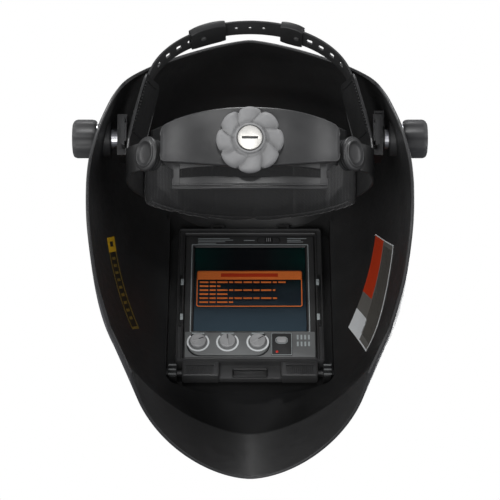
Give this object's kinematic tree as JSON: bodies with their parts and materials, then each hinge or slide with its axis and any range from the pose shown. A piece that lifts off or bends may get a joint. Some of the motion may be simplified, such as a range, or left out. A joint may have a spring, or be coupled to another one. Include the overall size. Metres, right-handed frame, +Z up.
{
  "type": "welding helmet",
  "caption": "Flip-up welding helmet: moulded face shell with an auto-darkening filter window, hung by side pivots on a padded headband with crown straps and a ratchet at the nape.",
  "frame": {"origin": "middle of the bounding box; the pivot axis runs 48.6 mm behind it and 62.5 mm above it", "axes": "+X the wearer's right along the pivot axis, +Y the way the wearer looks, +Z up with the helmet lowered"},
  "size_m": [0.282, 0.329, 0.359],
  "materials": {
    "shell_plastic": "fine moulded grain with a soft sheen",
    "case_plastic": "moulded, lightly textured",
    "gear_plastic": "satin moulding",
    "knob_plastic": "matte grey moulding",
    "strap_plastic": "satin flexible strap",
    "foam_fabric": "woven fabric over foam",
    "steel": "zinc plated",
    "lens_clear": "clear polycarbonate sheet",
    "lcd_glass": "dark green coated glass",
    "label_film": "printed film",
    "board": "solder mask",
    "cell_silicon": "dark blue sheen",
    "button_rubber": "matte moulded rubber",
    "light_red": "tinted clear dome"
  },
  "bodies": {
    "helmet": {"shell": "shell_plastic", "front_cover_lens": "lens_clear", "filter_holder": "case_plastic", "cartridge_front_case": "case_plastic", "cartridge_rear_case": "case_plastic", "lcd_filter": "lcd_glass", "inner_cover_lens": "lens_clear", "lens_label": "label_film", "circuit_board": "board", "solar_cell": "cell_silicon", "arc_sensor_1": "cell_silicon", "arc_sensor_2": "cell_silicon", "arc_sensor_3": "cell_silicon", "arc_sensor_4": "cell_silicon", "coin_cell": "steel", "status_light": "light_red", "wall_label_left": "label_film", "wall_label_right": "label_film", "latch_spring_left": "steel", "latch_spring_right": "steel"},
    "delay_knob": {"delay_knob": "knob_plastic"},
    "sensitivity_knob": {"sensitivity_knob": "knob_plastic"},
    "shade_knob": {"shade_knob": "knob_plastic"},
    "mode_switch": {"mode_switch": "button_rubber"},
    "test_button": {"test_button": "button_rubber"},
    "latch_left": {"latch_left": "case_plastic"},
    "latch_right": {"latch_right": "case_plastic"},
    "pivot_carriage": {"pivot_bolt_left": "steel", "pivot_bolt_right": "steel", "friction_bush_left": "steel", "friction_bush_right": "steel", "clamp_washer_left": "steel", "clamp_washer_right": "steel", "slide_block_left": "gear_plastic", "slide_block_right": "gear_plastic"},
    "tilt_stop": {"tilt_stop": "gear_plastic"},
    "side_knob_left": {"side_knob_left": "knob_plastic"},
    "side_knob_right": {"side_knob_right": "knob_plastic"},
    "headgear": {"headband": "gear_plastic", "sweatband": "foam_fabric", "side_plate_left": "gear_plastic", "side_plate_right": "gear_plastic", "crown_strap_left": "strap_plastic", "crown_strap_right": "strap_plastic", "crown_strap_centre": "strap_plastic", "strap_keeper_left": "gear_plastic", "strap_keeper_right": "gear_plastic", "brow_strap_left": "strap_plastic", "brow_strap_right": "strap_plastic", "swivel_stud_left": "gear_plastic", "swivel_stud_right": "gear_plastic"},
    "cradle": {"cradle_base": "gear_plastic", "cradle_cover": "gear_plastic", "nape_pad": "foam_fabric", "detent_ring": "gear_plastic"},
    "ratchet": {"ratchet_knob": "knob_plastic", "ratchet_cap": "steel", "pinion": "knob_plastic"},
    "rack_left": {"rack_left": "knob_plastic"},
    "rack_right": {"rack_right": "knob_plastic"}
  },
  "joints": [
    {"name": "helmet_flip", "type": "hinge", "parent": "helmet", "child": "pivot_carriage", "pos_m": [0, -0.04863, 0.0625], "axis": [-1, 0, 0], "range_deg": [-5, 75]},
    {"name": "fore_aft", "type": "slide", "parent": "pivot_carriage", "child": "headgear", "axis": [0, 0.9703, 0.2419], "range_m": [-0.009, 0.004]},
    {"name": "cradle_tilt", "type": "hinge", "parent": "headgear", "child": "cradle", "pos_m": [0, -0.10614, 0.02033], "axis": [1, 0, 0], "range_deg": [-5, 4]},
    {"name": "ratchet_turn", "type": "hinge", "parent": "cradle", "child": "ratchet", "pos_m": [0, -0.14859, 0.00872], "axis": [0, 0.9703, 0.2419], "range_deg": [-114, 114]},
    {"name": "rack_left_travel", "type": "slide", "parent": "cradle", "child": "rack_left", "axis": [1, 0, 0], "range_m": [-0.012, 0.012]},
    {"name": "rack_right_travel", "type": "slide", "parent": "cradle", "child": "rack_right", "axis": [1, 0, 0], "range_m": [-0.012, 0.012]},
    {"name": "side_knob_left_turn", "type": "hinge", "parent": "pivot_carriage", "child": "side_knob_left", "pos_m": [-0.122, -0.04863, 0.0625], "axis": [-1, 0, 0], "range_deg": [-180, 180]},
    {"name": "side_knob_right_turn", "type": "hinge", "parent": "pivot_carriage", "child": "side_knob_right", "pos_m": [0.122, -0.04863, 0.0625], "axis": [1, 0, 0], "range_deg": [-180, 180]},
    {"name": "tilt_stop_turn", "type": "hinge", "parent": "pivot_carriage", "child": "tilt_stop", "pos_m": [0.1053, -0.04863, 0.0625], "axis": [1, 0, 0], "range_deg": [-20, 20]},
    {"name": "delay_turn", "type": "hinge", "parent": "helmet", "child": "delay_knob", "pos_m": [-0.0443, 0.11234, -0.04807], "axis": [0, 0.9732, -0.23], "range_deg": [-135, 135]},
    {"name": "sensitivity_turn", "type": "hinge", "parent": "helmet", "child": "sensitivity_knob", "pos_m": [-0.0192, 0.11234, -0.04807], "axis": [0, 0.9732, -0.23], "range_deg": [-135, 135]},
    {"name": "shade_turn", "type": "hinge", "parent": "helmet", "child": "shade_knob", "pos_m": [0.0066, 0.11234, -0.04807], "axis": [0, 0.9732, -0.23], "range_deg": [-135, 135]},
    {"name": "mode_slide", "type": "slide", "parent": "helmet", "child": "mode_switch", "axis": [1, 0, 0], "range_m": [-0.005, 0.005]},
    {"name": "test_press", "type": "slide", "parent": "helmet", "child": "test_button", "axis": [0, 0.9732, -0.23], "range_m": [0, 0.0008], "stiffness_N_per_m": 200},
    {"name": "latch_left_pull", "type": "slide", "parent": "helmet", "child": "latch_left", "axis": [1, 0, 0], "range_m": [0, 0.004], "stiffness_N_per_m": 150, "deforming": ["latch_spring_left"]},
    {"name": "latch_right_pull", "type": "slide", "parent": "helmet", "child": "latch_right", "axis": [-1, 0, 0], "range_m": [0, 0.004], "stiffness_N_per_m": 150, "deforming": ["latch_spring_right"]}
  ],
  "couplings": [
    {"joint": "rack_left_travel", "follows": "ratchet_turn", "m_per_rad": 0.006},
    {"joint": "rack_right_travel", "follows": "ratchet_turn", "m_per_rad": -0.006}
  ]
}
